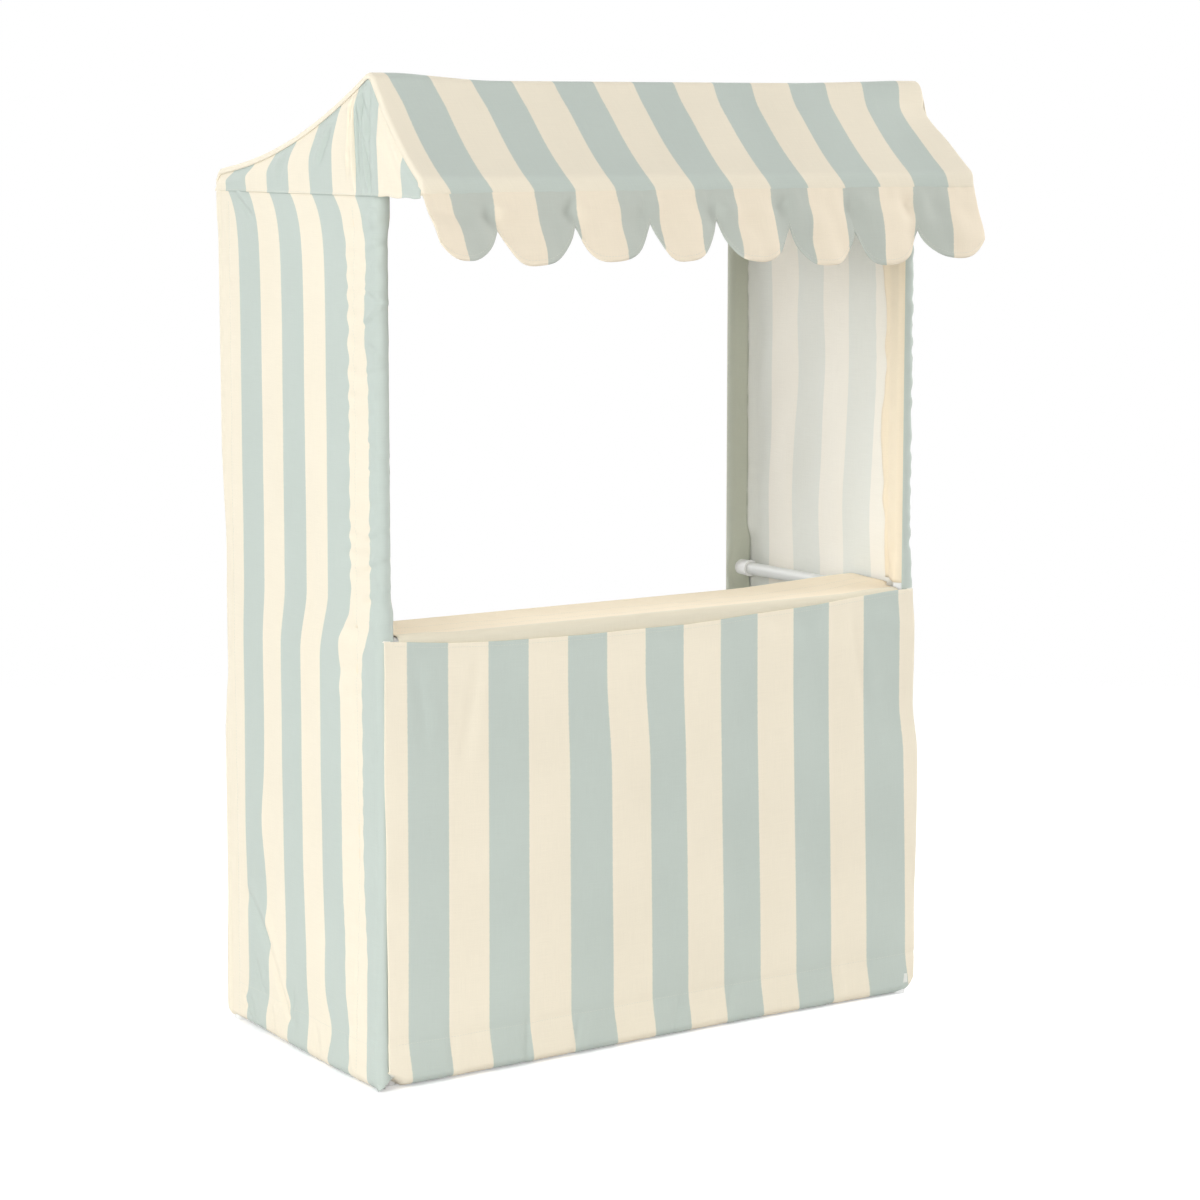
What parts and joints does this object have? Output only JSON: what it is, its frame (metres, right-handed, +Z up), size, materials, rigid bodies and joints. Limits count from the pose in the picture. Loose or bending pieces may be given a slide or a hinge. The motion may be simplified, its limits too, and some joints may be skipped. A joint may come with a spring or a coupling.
{
  "type": "toy market stall",
  "caption": "Free-standing toy market stall: push-together tube frame under a striped cloth cover, with a serving counter, a pitched roof and a scalloped valance that swings",
  "frame": {"origin": "on the floor, in the middle of the outline from the valance's edge to the rear hem", "axes": "+X to the right seen from the front, -Y to the front, where the counter is, +Z up"},
  "size_m": [0.9088, 0.6014, 1.3306],
  "materials": {
    "white_tube": "white powder coat, satin",
    "white_connector": "moulded white plastic",
    "striped_cloth": "matte cotton canvas with broad cream and sage stripes",
    "cream_cloth": "matte plain cream cotton canvas"
  },
  "bodies": {
    "stall": {"lower_post_front_left": "white_tube", "lower_post_front_right": "white_tube", "lower_post_rear_left": "white_tube", "lower_post_rear_right": "white_tube", "upper_post_front_left": "white_tube", "upper_post_front_right": "white_tube", "upper_post_rear_left": "white_tube", "upper_post_rear_right": "white_tube", "king_post_left": "white_tube", "king_post_right": "white_tube", "floor_rail_side_left": "white_tube", "floor_rail_side_right": "white_tube", "counter_side_rail_front_left": "white_tube", "counter_side_rail_front_right": "white_tube", "counter_side_rail_rear_left": "white_tube", "counter_side_rail_rear_right": "white_tube", "top_side_rail_left": "white_tube", "top_side_rail_right": "white_tube", "awning_arm_left": "white_tube", "awning_arm_right": "white_tube", "foot_connector_front_left": "white_connector", "foot_connector_front_right": "white_connector", "foot_connector_rear_left": "white_connector", "foot_connector_rear_right": "white_connector", "counter_connector_front_left": "white_connector", "counter_connector_front_right": "white_connector", "counter_connector_rear_left": "white_connector", "counter_connector_rear_right": "white_connector", "counter_tee_left": "white_connector", "counter_tee_right": "white_connector", "top_connector_front_left": "white_connector", "top_connector_front_right": "white_connector", "top_connector_rear_left": "white_connector", "top_connector_rear_right": "white_connector", "ridge_connector_left": "white_connector", "ridge_connector_right": "white_connector", "eave_connector_left": "white_connector", "eave_connector_right": "white_connector", "post_pocket_front_left": "striped_cloth", "post_pocket_front_right": "striped_cloth", "post_pocket_rear_left": "striped_cloth", "post_pocket_rear_right": "striped_cloth", "side_panel_left": "striped_cloth", "side_panel_right": "striped_cloth", "gable_left": "striped_cloth", "gable_right": "striped_cloth", "side_hem_pocket_left": "cream_cloth", "side_hem_pocket_right": "cream_cloth", "floor_rail_front": "white_tube", "counter_front_rail": "white_tube", "counter_rear_rail": "white_tube", "top_rear_rail": "white_tube", "ridge_pole": "white_tube", "eave_bar": "white_tube", "roof_cover": "striped_cloth", "front_panel": "striped_cloth", "counter_cover": "cream_cloth", "front_hem_pocket": "cream_cloth"},
    "valance": {"valance": "striped_cloth"}
  },
  "joints": [
    {"name": "valance_swing", "type": "hinge", "parent": "stall", "child": "valance", "pos_m": [0, -0.25374, 1.185], "axis": [-1, 0, 0], "range_deg": [-20, 75], "stiffness_Nm_per_rad": 0.3, "springref_deg": 2.29}
  ]
}
